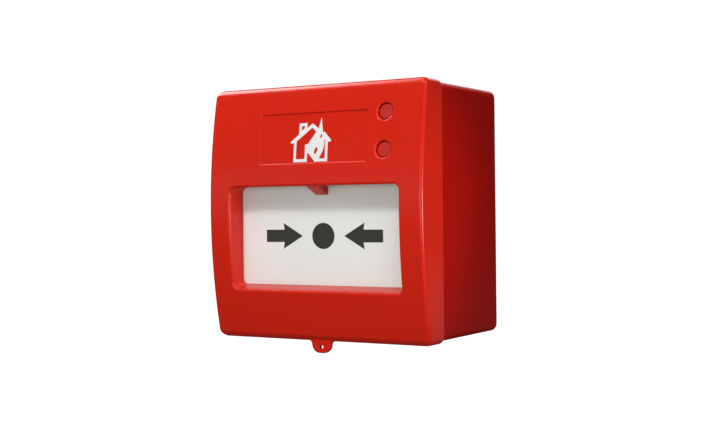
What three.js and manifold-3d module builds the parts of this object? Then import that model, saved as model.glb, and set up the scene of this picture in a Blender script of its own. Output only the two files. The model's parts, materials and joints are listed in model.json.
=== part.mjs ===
// Manual call point for a fire alarm, surface mounted, with a resettable operating plate.
//
// Units are millimetres. X runs to the right seen from the front, Y runs into the wall and Z runs up.
// The origin is the middle of the back box's rear face, on the wall, so every front has a negative Y.

import * as THREE from 'three';
import { mergeVertices } from 'three/addons/utils/BufferGeometryUtils.js';
import Module from 'manifold-3d';

const wasm = await Module();
wasm.setup();

// ---------------------------------------------------------------- driving dimensions

const COVER_HALF_WIDTH = 44.5;
const COVER_HALF_HEIGHT = 45.8;
const OVERALL_DEPTH = 59.5;
const COVER_CORNER_RADIUS = 3.2;
const COVER_EDGE_RADIUS = 2.0;
const COVER_WALL = 2.0;
const FRONT_WALL = 2.2;

const BOX_HALF_WIDTH = 44.2;
const BOX_HALF_HEIGHT = 45.05;
const BOX_DEPTH = 43.7;
const BOX_CORNER_RADIUS = 3.0;
const BOX_WALL = 2.6;
const BOX_FLOOR = 2.5;
const SEAM_GAP = 0.25;
const TONGUE_LENGTH = 2.5;

const FIT = 0.3;
const TOUCH = 0.05;

// Reaches for cutters that only have to pass right through the cover.
const AHEAD = -60;
const INSIDE = -50;
const ASIDE = 50;

// The front is bowed about a level axis far behind the wall.
const BOW_RADIUS = 202;
const BOW_CENTRE_Y = BOW_RADIUS - OVERALL_DEPTH;
const BOW_CENTRE_Z = 1.2;
const BOW_STEPS = 14;

const WINDOW = { left: -35.2, right: 35.2, bottom: -27.3, top: 9.55, radius: 2.2 };
const WINDOW_WALL = 1.6;
const LABEL = { left: -22.3, right: 22.3, bottom: 17.5, top: 35.5, radius: 0.8 };
const LABEL_DEPTH = 0.45;

const LENS_X = 29;
const LENS_HEIGHTS = { upper: 34.5, lower: 21.4 };
const LENS_RADIUS = 2.7;
const LENS_CLEARANCE = 0.15;
const LENS_FLANGE_RADIUS = 4.2;
const LENS_DEPTH = 2.6;
const LENS_SET_BACK = 0.8;

const PLATE_FRONT = -51;
const PLATE_THICKNESS = 1.2;
const PIVOT = { y: -48, z: 15.5 };

const PANEL_FRONT = -44.4;
const PANEL_BACK = -42.2;
const BOARD_FRONT = -33.3;
const BOARD_BACK = -31.7;

const CAM_Y = -48.4;
const KEY_HOLE_RADIUS = 3.0;
const TOOL_HOLE_RADIUS = 1.7;
const LATCH_Y = -47.7;
const LATCH_X = 24;
const HOOK_X = 25;
const FIXING_REACH = 30.15;
const KNOCKOUT_X = 18;
const KNOCKOUT_Y = -20;
const HOOK_HALF_WIDTH = 5;
const FLAG_ARM_X = 19;

const BASE_SCREWS = [[-36.8, 26], [36.8, 26], [-36.8, -36], [36.8, -36]];
const BOARD_SCREWS = [[-27, 33], [-27, -20], [27, -20]];

const SWITCH = { left: -10, right: 10, front: -39.8, bottom: -15.2, top: -8.8 };
const SWITCH_Z = (SWITCH.bottom + SWITCH.top) / 2;
const LEVER_PIVOT = { x: -8, y: -40.6 };
const LEVER_ANGLE = THREE.MathUtils.degToRad(12);
const PLUNGER_X = -3;
const SWITCH_PINS = [-8, 0, 8];

const TERMINAL_PITCH = 5.3;
const TERMINAL_COUNT = 4;
const TERMINAL = { bottom: -24, top: -15.5, back: -21.5, screwZ: -19 };

// ---------------------------------------------------------------- materials

const material = (color, roughness, metalness = 0, opacity = 1) =>
  new THREE.MeshStandardMaterial({ color, roughness, metalness, opacity, transparent: opacity < 1 });

const redPlastic = material(0xc8281a, 0.3);
const redLens = material(0xa81a14, 0.2);
const whitePlastic = material(0xe4e4de, 0.45);
const ivoryPlastic = material(0xd9d6cb, 0.55);
const blackPlastic = material(0x1c1c1d, 0.5);
const yellowPlastic = material(0xf2c51a, 0.5);
const clearPlastic = material(0xdfe6e6, 0.1, 0, 0.5);
const greenBoard = material(0x1d6b3a, 0.45);
const greenPlastic = material(0x2f8a55, 0.5);
const redDiffuser = material(0xb3201c, 0.25);
const resistorLacquer = material(0xc9b48a, 0.5);
const zincSteel = material(0xb9bcc0, 0.35, 1);
const springSteel = material(0x9a9da2, 0.3, 1);
const brass = material(0xc2a04a, 0.3, 1);

// ---------------------------------------------------------------- solids from three.js geometry

// Turns a closed geometry into a solid, with its shared corners merged and its faces turned outwards.
function solid(geometry) {
  const bare = geometry.clone();
  bare.deleteAttribute('normal');
  bare.deleteAttribute('uv');
  const merged = mergeVertices(bare, 1e-4);
  const positions = merged.getAttribute('position').array;
  const index = merged.index.array;
  const corners = [];
  let volume = 0;
  for (let i = 0; i < index.length; i += 3) {
    const [a, b, c] = [index[i], index[i + 1], index[i + 2]];
    if (a === b || b === c || c === a) continue;
    corners.push(a, b, c);
    const [p, q, r] = [a, b, c].map((v) => new THREE.Vector3().fromArray(positions, v * 3));
    volume += p.dot(q.cross(r));
  }
  if (volume < 0) corners.reverse();
  const triVerts = Uint32Array.from(corners);
  return new wasm.Manifold(new wasm.Mesh({ numProp: 3, vertProperties: positions, triVerts }));
}

// Names a solid and gives it its material.
function piece(name, body, surface) {
  const { vertProperties, triVerts } = body.getMesh();
  const geometry = new THREE.BufferGeometry();
  geometry.setAttribute('position', new THREE.BufferAttribute(vertProperties, 3));
  geometry.setIndex(new THREE.BufferAttribute(triVerts, 1));
  geometry.computeVertexNormals();
  const mesh = new THREE.Mesh(geometry, surface);
  mesh.name = name;
  return mesh;
}

const joined = (bodies) => bodies.reduce((whole, body) => whole.add(body));
const cutBy = (body, cutters) => cutters.reduce((rest, cutter) => rest.subtract(cutter), body);

function block([x0, x1], [y0, y1], [z0, z1]) {
  const geometry = new THREE.BoxGeometry(x1 - x0, y1 - y0, z1 - z0);
  geometry.translate((x0 + x1) / 2, (y0 + y1) / 2, (z0 + z1) / 2);
  return solid(geometry);
}

// Extrudes an outline drawn in X and Z along Y, from the front to the back.
function slab(shape, front, back, curveSegments = 5) {
  const depth = back - front;
  const geometry = new THREE.ExtrudeGeometry(shape, { depth, bevelEnabled: false, curveSegments });
  const turn = new THREE.Matrix4().makeBasis(
    new THREE.Vector3(1, 0, 0), new THREE.Vector3(0, 0, 1), new THREE.Vector3(0, -1, 0));
  geometry.applyMatrix4(turn);
  geometry.translate(0, back, 0);
  return solid(geometry);
}

// Extrudes an outline drawn in Y and Z along X.
function bar(shape, left, right, curveSegments = 8) {
  const depth = right - left;
  const geometry = new THREE.ExtrudeGeometry(shape, { depth, bevelEnabled: false, curveSegments });
  const turn = new THREE.Matrix4().makeBasis(
    new THREE.Vector3(0, 1, 0), new THREE.Vector3(0, 0, 1), new THREE.Vector3(1, 0, 0));
  geometry.applyMatrix4(turn);
  geometry.translate(left, 0, 0);
  return solid(geometry);
}

function roundedRectangle({ left, right, bottom, top, radius }) {
  const shape = new THREE.Shape();
  shape.absarc(right - radius, top - radius, radius, 0, Math.PI / 2);
  shape.absarc(left + radius, top - radius, radius, Math.PI / 2, Math.PI);
  shape.absarc(left + radius, bottom + radius, radius, Math.PI, Math.PI * 1.5);
  shape.absarc(right - radius, bottom + radius, radius, Math.PI * 1.5, Math.PI * 2);
  shape.closePath();
  return shape;
}

const centredRectangle = (halfWidth, halfHeight, radius) => roundedRectangle({
  left: -halfWidth, right: halfWidth, bottom: -halfHeight, top: halfHeight, radius });

const polygon = (points) => new THREE.Shape(points.map(([u, v]) => new THREE.Vector2(u, v)));

function rod(axis, radius, from, to, [u, v], sides = 16) {
  const geometry = new THREE.CylinderGeometry(radius, radius, to - from, sides);
  const middle = (from + to) / 2;
  if (axis === 'x') geometry.rotateZ(Math.PI / 2).translate(middle, u, v);
  if (axis === 'y') geometry.translate(u, middle, v);
  if (axis === 'z') geometry.rotateX(Math.PI / 2).translate(u, v, middle);
  return solid(geometry);
}

// Turns a profile of [radius, distance along Y] about an axis along Y at x, z.
function turned(profile, [x, z], sides = 16) {
  const points = profile.map(([radius, y]) => new THREE.Vector2(radius, y));
  const geometry = new THREE.LatheGeometry(points, sides);
  geometry.translate(x, 0, z);
  return solid(geometry);
}

class Helix extends THREE.Curve {
  constructor(radius, length, turns) {
    super();
    Object.assign(this, { radius, length, turns });
  }

  getPoint(t, target = new THREE.Vector3()) {
    const angle = t * this.turns * Math.PI * 2;
    return target.set(Math.cos(angle) * this.radius, Math.sin(angle) * this.radius, t * this.length);
  }
}

function coil({ radius, length, turns, wire }) {
  const section = new THREE.Shape();
  section.absarc(0, 0, wire / 2, 0, Math.PI * 2);
  const extrudePath = new Helix(radius, length, turns);
  const steps = Math.round(turns * 10);
  return new THREE.ExtrudeGeometry(section, { extrudePath, steps, curveSegments: 3, bevelEnabled: false });
}

function wireBetween(from, to, thickness) {
  const start = new THREE.Vector3(...from);
  const run = new THREE.Vector3(...to).sub(start);
  const geometry = new THREE.CylinderGeometry(thickness / 2, thickness / 2, run.length(), 8);
  const middle = start.clone().addScaledVector(run, 0.5);
  const turn = new THREE.Quaternion().setFromUnitVectors(new THREE.Vector3(0, 1, 0), run.normalize());
  geometry.applyQuaternion(turn).translate(middle.x, middle.y, middle.z);
  return solid(geometry);
}

// ---------------------------------------------------------------- the bowed front

const bowDepth = (z, inset) => BOW_CENTRE_Y - Math.sqrt((BOW_RADIUS - inset) ** 2 - (z - BOW_CENTRE_Z) ** 2);
const bowSlope = (z) => Math.asin((z - BOW_CENTRE_Z) / BOW_RADIUS);

// Side view of the cover, set in from its outer faces, from the rear edge to the bowed front.
function bowedProfile(inset, halfHeight, edgeRadius, rear) {
  const filletZ = halfHeight - edgeRadius;
  const reach = BOW_RADIUS - inset - edgeRadius;
  const [low, high] = [-filletZ, filletZ].map((z) => {
    const y = BOW_CENTRE_Y - Math.sqrt(reach ** 2 - (z - BOW_CENTRE_Z) ** 2);
    return { y, z, angle: Math.atan2(z - BOW_CENTRE_Z, y - BOW_CENTRE_Y) };
  });
  const shape = new THREE.Shape();
  shape.moveTo(rear, -halfHeight);
  shape.lineTo(low.y, -halfHeight);
  shape.absarc(low.y, low.z, edgeRadius, -Math.PI / 2, low.angle, true);
  for (let i = 1; i < BOW_STEPS; i += 1) {
    const z = -filletZ + 2 * filletZ * i / BOW_STEPS;
    shape.lineTo(bowDepth(z, inset), z);
  }
  shape.absarc(high.y, high.z, edgeRadius, high.angle, Math.PI / 2, true);
  shape.lineTo(rear, halfHeight);
  shape.closePath();
  return shape;
}

function coverBody(inset, frontInset, rear, cornerRadius, edgeRadius) {
  const halfWidth = COVER_HALF_WIDTH - inset;
  const halfHeight = COVER_HALF_HEIGHT - inset;
  const outline = slab(centredRectangle(halfWidth, halfHeight, cornerRadius), -OVERALL_DEPTH - 1, rear, 4);
  const side = bar(bowedProfile(frontInset, halfHeight, edgeRadius, rear), -ASIDE, ASIDE, 4);
  return outline.intersect(side);
}

// ---------------------------------------------------------------- front cover

const COVER_REAR = -BOX_DEPTH - SEAM_GAP;
const COVER_INNER_HEIGHT = COVER_HALF_HEIGHT - COVER_WALL;

function windowWalls(outer) {
  const rear = PLATE_FRONT - FIT;
  const { left, right, bottom, radius } = WINDOW;
  const around = roundedRectangle({
    left: left - WINDOW_WALL,
    right: right + WINDOW_WALL,
    bottom: bottom - WINDOW_WALL,
    top: WINDOW.top + 4,
    radius: radius + WINDOW_WALL,
  });
  const belowTop = block([-ASIDE, ASIDE], [AHEAD, INSIDE], [bottom - 5, WINDOW.top - 0.5]);
  return slab(around, AHEAD, rear).intersect(belowTop).intersect(outer);
}

// A gusset under the window's top edge that reaches back to the operating plate.
function windowNib() {
  const profile = polygon([[-58.4, 9.3], [-52.2, 6.4], [-51.2, 6.4], [-51.2, 9.2], [-56.8, 12], [-58.4, 12]]);
  return bar(profile, -2.45, 2.45);
}

// A flared tab below the cover, with a hole for a tamper seal.
function sealLug() {
  const halfWidth = 3.95;
  const rootHalfWidth = 4.7;
  const root = -44.5;
  const flareTop = -45.7;
  const flareBottom = -46.8;
  const bottom = -50.05;
  const corner = 3.2;
  const [front, back] = [-53.3, -51.4];
  const shape = new THREE.Shape();
  shape.moveTo(-rootHalfWidth, root);
  shape.lineTo(-rootHalfWidth, flareTop);
  shape.quadraticCurveTo(-halfWidth, flareTop - 0.2, -halfWidth, flareBottom);
  shape.absarc(-halfWidth + corner, bottom + corner, corner, Math.PI, Math.PI * 1.5);
  shape.absarc(halfWidth - corner, bottom + corner, corner, Math.PI * 1.5, Math.PI * 2);
  shape.quadraticCurveTo(halfWidth, flareTop - 0.2, rootHalfWidth, flareTop);
  shape.lineTo(rootHalfWidth, root);
  shape.closePath();
  const hole = rod('y', 0.75, front - 1, back + 1, [0, -47.9], 12);
  return slab(shape, front, back).subtract(hole);
}

// Hooks that hang from the cover's top wall and reach under the box's top wall.
function coverHooks() {
  const bottom = 40.2;
  return [-HOOK_X, HOOK_X].map((x) => {
    const width = [x - HOOK_HALF_WIDTH, x + HOOK_HALF_WIDTH];
    const tab = block(width, [-47.4, -45.4], [bottom, COVER_INNER_HEIGHT + 1]);
    const hook = block(width, [-45.6, -41.2], [bottom, 42]);
    return tab.add(hook);
  });
}

function frontCover() {
  const outer = coverBody(0, 0, COVER_REAR, COVER_CORNER_RADIUS, COVER_EDGE_RADIUS);
  const inner = coverBody(COVER_WALL, FRONT_WALL, COVER_REAR + 1, 1.2, 0.6);
  const labelFloor = coverBody(0, LABEL_DEPTH, COVER_REAR, COVER_CORNER_RADIUS, COVER_EDGE_RADIUS);
  const labelRecess = slab(roundedRectangle(LABEL), AHEAD, INSIDE).subtract(labelFloor);
  const lensHoles = Object.values(LENS_HEIGHTS).map((z) => {
    const radius = LENS_RADIUS + LENS_CLEARANCE;
    const geometry = new THREE.CylinderGeometry(radius, radius, 12, 20);
    geometry.rotateX(-bowSlope(z)).translate(LENS_X, bowDepth(z, 0), z);
    return solid(geometry);
  });
  const catchRib = block([LATCH_X - 4, LATCH_X + 4], [-45.6, -44.6], [-COVER_INNER_HEIGHT - 0.5, -42.9]);
  const bottomWall = [-COVER_HALF_HEIGHT - 1, -COVER_INNER_HEIGHT + 1];
  const toolHole = rod('z', TOOL_HOLE_RADIUS, ...bottomWall, [LATCH_X, -47.5]);
  const keyHole = rod('z', KEY_HOLE_RADIUS, ...bottomWall, [0, CAM_Y], 20);
  const shell = joined([outer.subtract(inner), windowWalls(outer), ...coverHooks(), catchRib]);
  const opening = slab(roundedRectangle(WINDOW), AHEAD, INSIDE);
  const body = cutBy(shell, [opening, labelRecess, toolHole, keyHole, ...lensHoles]);
  return piece('front_cover', joined([body, windowNib(), sealLug()]), redPlastic);
}

// A lens that fills its hole from behind, set back from the bowed front and held by its flange.
function statusLens(level) {
  const z = LENS_HEIGHTS[level];
  const flange = LENS_DEPTH - 0.8;
  const profile = [[0, 0], [LENS_RADIUS, 0], [LENS_RADIUS, flange], [LENS_FLANGE_RADIUS, flange],
    [LENS_FLANGE_RADIUS, LENS_DEPTH], [0, LENS_DEPTH]];
  const mesh = piece(`status_lens_${level}`, turned(profile, [0, 0], 20), redLens);
  const slope = bowSlope(z);
  mesh.rotation.x = -slope;
  mesh.position.set(LENS_X, bowDepth(z, LENS_SET_BACK), z);
  return mesh;
}

// ---------------------------------------------------------------- back box

function knockoutGroove(x, side) {
  const outer = 10.1;
  const inner = 9.3;
  const depth = 1.4;
  const face = side * BOX_HALF_HEIGHT;
  const from = Math.min(face - side * depth, face + side);
  const to = Math.max(face - side * depth, face + side);
  const ring = rod('z', outer, from, to, [x, KNOCKOUT_Y], 24);
  return ring.subtract(rod('z', inner, from - 1, to + 1, [x, KNOCKOUT_Y], 24));
}

function slot([x, z], halfLength, halfWidth, upright) {
  const [dx, dz] = upright ? [halfWidth, halfLength] : [halfLength, halfWidth];
  const outline = { left: x - dx, right: x + dx, bottom: z - dz, top: z + dz, radius: halfWidth - 0.01 };
  return slab(roundedRectangle(outline), -BOX_FLOOR - 1, 1);
}

const PILLAR_TOP = -PANEL_BACK - TOUCH;

// A pillar for a base screw, tied to the box's side by a web.
function screwPillar([x, z]) {
  const side = Math.sign(x);
  const web = [x, side * (BOX_HALF_WIDTH - 1)].sort((a, b) => a - b);
  const pillar = rod('y', 3.4, -PILLAR_TOP, -1, [x, z], 14);
  return pillar.add(block(web, [-PILLAR_TOP, -1], [z - 1.1, z + 1.1]));
}

function backBox() {
  const outer = slab(centredRectangle(BOX_HALF_WIDTH, BOX_HALF_HEIGHT, BOX_CORNER_RADIUS), -BOX_DEPTH, 0);
  const innerShape = centredRectangle(BOX_HALF_WIDTH - BOX_WALL, BOX_HALF_HEIGHT - BOX_WALL, 1.2);
  const tongueShape = centredRectangle(BOX_HALF_WIDTH - 2, COVER_INNER_HEIGHT - FIT, 1.2);
  const tongue = slab(tongueShape, -BOX_DEPTH - TONGUE_LENGTH, -BOX_DEPTH + 1);
  const notches = [[-HOOK_X, 42], [HOOK_X, 42], [0, -42], [LATCH_X, -42]].map(([x, z]) =>
    block([x - 6.5, x + 6.5], [-BOX_DEPTH - 4, -BOX_DEPTH], [z - 3, z + 3]));
  const cavity = slab(innerShape, -BOX_DEPTH - 4, -BOX_FLOOR);
  const shell = cutBy(outer.add(tongue), [cavity, ...notches]);
  const pillars = BASE_SCREWS.map(screwPillar);
  const bores = BASE_SCREWS.map((at) => rod('y', 1.5, -44, -28, at, 12));
  const knockouts = [-KNOCKOUT_X, KNOCKOUT_X].flatMap((x) => [knockoutGroove(x, 1), knockoutGroove(x, -1)]);
  const fixingSlots = [-FIXING_REACH, FIXING_REACH].flatMap((reach) =>
    [slot([reach, 0], 4.6, 2.1, true), slot([0, reach], 4.6, 2.1, false)]);
  const cableEntry = slot([0, 14], 14, 8, false);
  const body = cutBy(joined([shell, ...pillars]), [...bores, ...knockouts, ...fixingSlots, cableEntry]);
  return piece('back_box', body, redPlastic);
}

// ---------------------------------------------------------------- fasteners

// A pan-head screw along Y with a cross recess. Its head's underside is at y = seat.
function panHeadScrew(name, [x, z], { seat, headRadius, headHeight, shankRadius, length }, facing = 1) {
  const top = seat - facing * headHeight;
  const edge = seat - facing * headHeight * 0.45;
  const profile = [[0, top], [headRadius * 0.7, top], [headRadius, edge], [headRadius, seat],
    [shankRadius, seat], [shankRadius, seat + facing * (length - 1)], [0, seat + facing * length]];
  const recess = [top - facing, top + facing * headHeight * 0.5].sort((a, b) => a - b);
  const arm = headRadius * 0.55;
  const slit = headRadius * 0.16;
  const cross = block([x - arm, x + arm], recess, [z - slit, z + slit])
    .add(block([x - slit, x + slit], recess, [z - arm, z + arm]));
  return piece(name, turned(profile, [x, z], 12).subtract(cross), zincSteel);
}

function baseScrews() {
  const size = { seat: PANEL_FRONT - TOUCH, headRadius: 3, headHeight: 2.2, shankRadius: 1.2, length: 14 };
  return BASE_SCREWS.map((at, i) => panHeadScrew(`base_screw_${i + 1}`, at, size));
}

function boardScrews() {
  const size = { seat: BOARD_BACK + TOUCH, headRadius: 2.4, headHeight: 1.7, shankRadius: 0.8, length: 7 };
  return BOARD_SCREWS.map((at, i) => panHeadScrew(`board_screw_${i + 1}`, at, size, -1));
}

// ---------------------------------------------------------------- mechanism base

// Everything on the panel grows out of it from here.
const PANEL_ROOT = PANEL_FRONT + 1;
const ACROSS_PANEL = [PANEL_FRONT - 1.6, PANEL_BACK + 1.2];

function pivotBoss(side) {
  const width = [38.9 * side, 41.1 * side].sort((a, b) => a - b);
  const boss = block(width, [-50.6, PANEL_ROOT], [PIVOT.z - 2.8, PIVOT.z + 2.8]);
  return boss.subtract(rod('x', 1.3, width[0] - 1, width[1] + 1, [PIVOT.y, PIVOT.z], 12));
}

function flagGuide(side) {
  const centre = side * FLAG_ARM_X;
  return [-1, 1].map((hand) => {
    const near = centre + hand * 2.8;
    const width = [near, near + hand * 1.2].sort((a, b) => a - b);
    return block(width, [-51.5, PANEL_ROOT], [18.5, 31]);
  });
}

// A snap bearing for the reset cam, open towards the front.
function camBearing() {
  const bracket = block([-7, 7], [-52.2, PANEL_ROOT], [-39.8, -36.8]);
  const bore = rod('z', 2.6, -41, -36, [0, CAM_Y], 20);
  const mouth = block([-2.1, 2.1], [-53, CAM_Y], [-41, -36]);
  return cutBy(bracket, [bore, mouth]);
}

// A housing for the cover latch and its spring, with a slot that shows them.
function latchGuide() {
  const housing = block([LATCH_X - 5.5, LATCH_X + 5.5], [-51, PANEL_ROOT], [-41.2, -30.7]);
  const channel = block([LATCH_X - 4, LATCH_X + 4], [-50.2, -45.2], [-42, -32.2]);
  const sight = block([LATCH_X - 2, LATCH_X + 2], [-52, -50], [-42, -34]);
  return cutBy(housing, [channel, sight]);
}

function mechanismBase() {
  const panel = slab(centredRectangle(41.1, 42, 1.5), PANEL_FRONT, PANEL_BACK);
  const standoffs = BOARD_SCREWS.map((at) => rod('y', 3, PANEL_BACK - 1, BOARD_FRONT - TOUCH, at, 14));
  const hookNotches = [-HOOK_X, HOOK_X].map((x) => block([x - 6.5, x + 6.5], ACROSS_PANEL, [39, 43]));
  const screwHoles = BASE_SCREWS.map((at) => rod('y', 1.8, ...ACROSS_PANEL, at, 12));
  const screwBores = BOARD_SCREWS.map((at) => rod('y', 1.1, -41, -32, at, 12));
  const guideHoles = Object.values(LENS_HEIGHTS).map((z) => rod('y', 2.8, ...ACROSS_PANEL, [LENS_X, z], 16));
  const switchSight = roundedRectangle({ left: -12, right: 10, bottom: -18, top: -6, radius: 1 });
  const switchOpening = slab(switchSight, ...ACROSS_PANEL);
  const body = joined([panel, pivotBoss(-1), pivotBoss(1), ...flagGuide(-1), ...flagGuide(1),
    camBearing(), latchGuide(), ...standoffs]);
  const holes = [...hookNotches, ...screwHoles, ...screwBores, ...guideHoles, switchOpening];
  return piece('mechanism_base', cutBy(body, holes), ivoryPlastic);
}

function lightGuide(level) {
  const z = LENS_HEIGHTS[level];
  const front = bowDepth(z, LENS_SET_BACK + LENS_DEPTH) + 0.9;
  const back = -38.6;
  const radius = 2.4;
  const collarRadius = 3.4;
  const collarFront = PANEL_FRONT - 1.3;
  const collarBack = PANEL_FRONT - TOUCH;
  const profile = [[0, front], [radius, front], [radius, collarFront], [collarRadius, collarFront],
    [collarRadius, collarBack], [radius, collarBack], [radius, back], [0, back]];
  return piece(`light_guide_${level}`, turned(profile, [LENS_X, z], 14), clearPlastic);
}

// ---------------------------------------------------------------- operating plate

function operatingPlate() {
  const shape = roundedRectangle({ left: -36.6, right: 36.6, bottom: -29.2, top: 12.6, radius: 1.2 });
  return piece('operating_plate', slab(shape, PLATE_FRONT, PLATE_FRONT + PLATE_THICKNESS, 3), whitePlastic);
}

// A pocketed sheet behind the plate, with the hinge barrel, two ribs and the finger that works the switch.
function plateCarrier() {
  const front = PLATE_FRONT + PLATE_THICKNESS + TOUCH;
  const back = -48.2;
  const outline = roundedRectangle({ left: -35.8, right: 35.8, bottom: -28.4, top: 15, radius: 1 });
  const sheet = slab(outline, front, back, 3);
  const springGap = block([-7.5, 7.5], [-52, -44], [12.3, 19]);
  const pockets = [[-32, -8], [8, 32]].flatMap(([left, right]) => [
    slab(roundedRectangle({ left, right, bottom: -25, top: -11, radius: 2 }), front - 1, back + 1, 3),
    slab(roundedRectangle({ left, right, bottom: -6, top: 8, radius: 2 }), front - 1, back + 1, 3),
  ]);
  const barrel = rod('x', 2.3, -38.3, 38.3, [PIVOT.y, PIVOT.z], 16);
  const bore = rod('x', 1.25, -40, 40, [PIVOT.y, PIVOT.z], 12);
  const finger = block([3.2, 4.8], [back - 1, -43.85], [-13.2, -10.8]);
  const ribSide = polygon([[back - 0.5, -26], [back, -26], [-47, -12], [-47, 11], [back - 0.5, 11]]);
  const ribs = [-34.6, 33.4].map((x) => bar(ribSide, x, x + 1.2));
  const body = cutBy(joined([sheet, barrel, ...ribs]), [springGap, bore, ...pockets]).add(finger);
  return piece('plate_carrier', body, blackPlastic);
}

function pivotRod() {
  return piece('pivot_rod', rod('x', 1.0, -40.8, 40.8, [PIVOT.y, PIVOT.z], 12), zincSteel);
}

// The plate's return spring, wound round the pivot rod: one leg bears on the carrier, one on the base.
function plateSpring() {
  const wire = 0.6;
  const radius = 1.75;
  const length = 6;
  const winding = coil({ radius, length, turns: 6, wire }).rotateY(Math.PI / 2);
  winding.translate(-length / 2, PIVOT.y, PIVOT.z);
  const end = PIVOT.z - radius;
  const carrierLeg = wireBetween([-length / 2, PIVOT.y, end + 0.1], [-length / 2, -47.7, 5], wire);
  const baseLeg = wireBetween([length / 2, PIVOT.y - 0.1, end], [length / 2, -45.1, end + 0.3], wire);
  return piece('plate_spring', joined([solid(winding), carrierLeg, baseLeg]), springSteel);
}

// ---------------------------------------------------------------- yellow flag

function indicatorFlag() {
  const front = -55;
  const back = -54;
  const band = roundedRectangle({ left: -33.6, right: 33.6, bottom: 10.2, top: 18, radius: 0.6 });
  const bridge = block([-25, 25], [front, back], [17, 20.2]);
  const strip = slab(band, front, back, 2).add(bridge);
  const notch = block([-3.6, 3.6], [front - 1, back + 1], [9, 17.8]);
  const arms = [-FLAG_ARM_X, FLAG_ARM_X].map((x) => {
    const width = [x - 2.5, x + 2.5];
    return block(width, [front, back], [19, 28]).add(block(width, [front, -46], [26, 28]));
  });
  return piece('indicator_flag', joined([strip.subtract(notch), ...arms]), yellowPlastic);
}

// ---------------------------------------------------------------- reset cam and cover latch

function resetCam() {
  const at = [0, CAM_Y];
  const head = rod('z', 3.6, -43.2, -40.2, at, 20);
  const journal = rod('z', 2.3, -40.3, -36.3, at, 16);
  const lobe = rod('z', 2.6, -36.4, -31.6, [1.2, CAM_Y], 18);
  const keySlot = block([-2.4, 2.4], [CAM_Y - 0.7, CAM_Y + 0.7], [-44, -41.6]);
  return piece('reset_cam', joined([head, journal, lobe]).subtract(keySlot), blackPlastic);
}

function coverLatch() {
  const body = block([LATCH_X - 3.7, LATCH_X + 3.7], [-49.9, -45.5], [-41.5, -37.2]);
  const nose = block([LATCH_X - 2.5, LATCH_X + 2.5], [-49, -46], [-42.6, -41.4]);
  const springPin = rod('z', 1.2, -37.3, -35.2, [LATCH_X, LATCH_Y], 12);
  return piece('cover_latch', joined([body, nose, springPin]), blackPlastic);
}

function latchSpring() {
  const shape = coil({ radius: 1.8, length: 4.3, turns: 4, wire: 0.45 });
  shape.translate(LATCH_X, LATCH_Y, -36.85);
  return piece('latch_spring', solid(shape), springSteel);
}

// ---------------------------------------------------------------- microswitch

function switchBody() {
  const { left, right, front, bottom, top } = SWITCH;
  const body = block([left, right], [front, BOARD_FRONT - TOUCH], [bottom, top]);
  const ears = [[bottom, bottom + 0.9], [top - 0.9, top]].map((depth) =>
    block([LEVER_PIVOT.x - 1.2, LEVER_PIVOT.x + 1.2], [front - 1.6, front + 1], depth));
  const plungerHole = rod('y', 1.05, front - 1, front + 3, [PLUNGER_X, SWITCH_Z], 12);
  const rivetHoles = [-6, 6].map((x) => rod('z', 1.1, bottom - 1, top + 1, [x, -35.6], 10));
  const whole = cutBy(joined([body, ...ears]), [plungerHole, ...rivetHoles]);
  return piece('microswitch_body', whole, blackPlastic);
}

function switchPlunger() {
  return piece('microswitch_plunger', rod('y', 0.8, -41.1, -37.9, [PLUNGER_X, SWITCH_Z], 10), redDiffuser);
}

function switchLever() {
  const strip = block([0, 15], [-0.2, 0.2], [SWITCH_Z - 1.7, SWITCH_Z + 1.7]);
  const curl = rod('z', 0.55, SWITCH_Z - 2.1, SWITCH_Z + 2.1, [0, 0], 10);
  const lever = piece('microswitch_lever', strip.add(curl), springSteel);
  lever.rotation.z = -LEVER_ANGLE;
  lever.position.set(LEVER_PIVOT.x, LEVER_PIVOT.y, 0);
  return lever;
}

function switchPins() {
  const depth = [BOARD_FRONT - TOUCH + 0.02, -30.2];
  const height = [SWITCH_Z - 0.3, SWITCH_Z + 0.3];
  return SWITCH_PINS.map((x, i) => {
    const pin = block([x - 0.5, x + 0.5], depth, height);
    return piece(`microswitch_pin_${i + 1}`, pin, brass);
  });
}

// ---------------------------------------------------------------- circuit board and what stands on it

function circuitBoard() {
  const outline = roundedRectangle({ left: -32.5, right: 33, bottom: -25, top: 39, radius: 1.5 });
  const board = slab(outline, BOARD_FRONT, BOARD_BACK, 3);
  const screwHoles = BOARD_SCREWS.map((at) => rod('y', 1.3, BOARD_FRONT - 1, BOARD_BACK + 1, at, 12));
  const pinHoles = SWITCH_PINS.map((x) =>
    block([x - 0.8, x + 0.8], [BOARD_FRONT - 1, BOARD_BACK + 1], [SWITCH_Z - 0.7, SWITCH_Z + 0.7]));
  return piece('circuit_board', cutBy(board, [...screwHoles, ...pinHoles]), greenBoard);
}

function statusLed(level) {
  const seat = BOARD_FRONT - TOUCH;
  const profile = [[0, seat - 5], [0.9, seat - 4.7], [1.5, seat - 3.6], [1.5, seat - 1],
    [1.9, seat - 1], [1.9, seat], [0, seat]];
  return piece(`status_led_${level}`, turned(profile, [LENS_X, LENS_HEIGHTS[level]], 12), redDiffuser);
}

// An axial resistor lying along Z on the board's front, with its bent leads.
function resistor(name, x, z) {
  const length = 6.4;
  const axisY = BOARD_FRONT - 1.6;
  const body = rod('z', 1.15, z - length / 2, z + length / 2, [x, axisY], 12);
  const wire = rod('z', 0.3, z - length / 2 - 2, z + length / 2 + 2, [x, axisY], 8);
  const legs = [-1, 1].map((end) =>
    rod('y', 0.3, axisY - 0.25, BOARD_FRONT - TOUCH, [x, z + end * (length / 2 + 1.9)], 8));
  return piece(name, joined([body, wire, ...legs]), resistorLacquer);
}

const terminalX = (i) => (i - (TERMINAL_COUNT - 1) / 2) * TERMINAL_PITCH;

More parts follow.
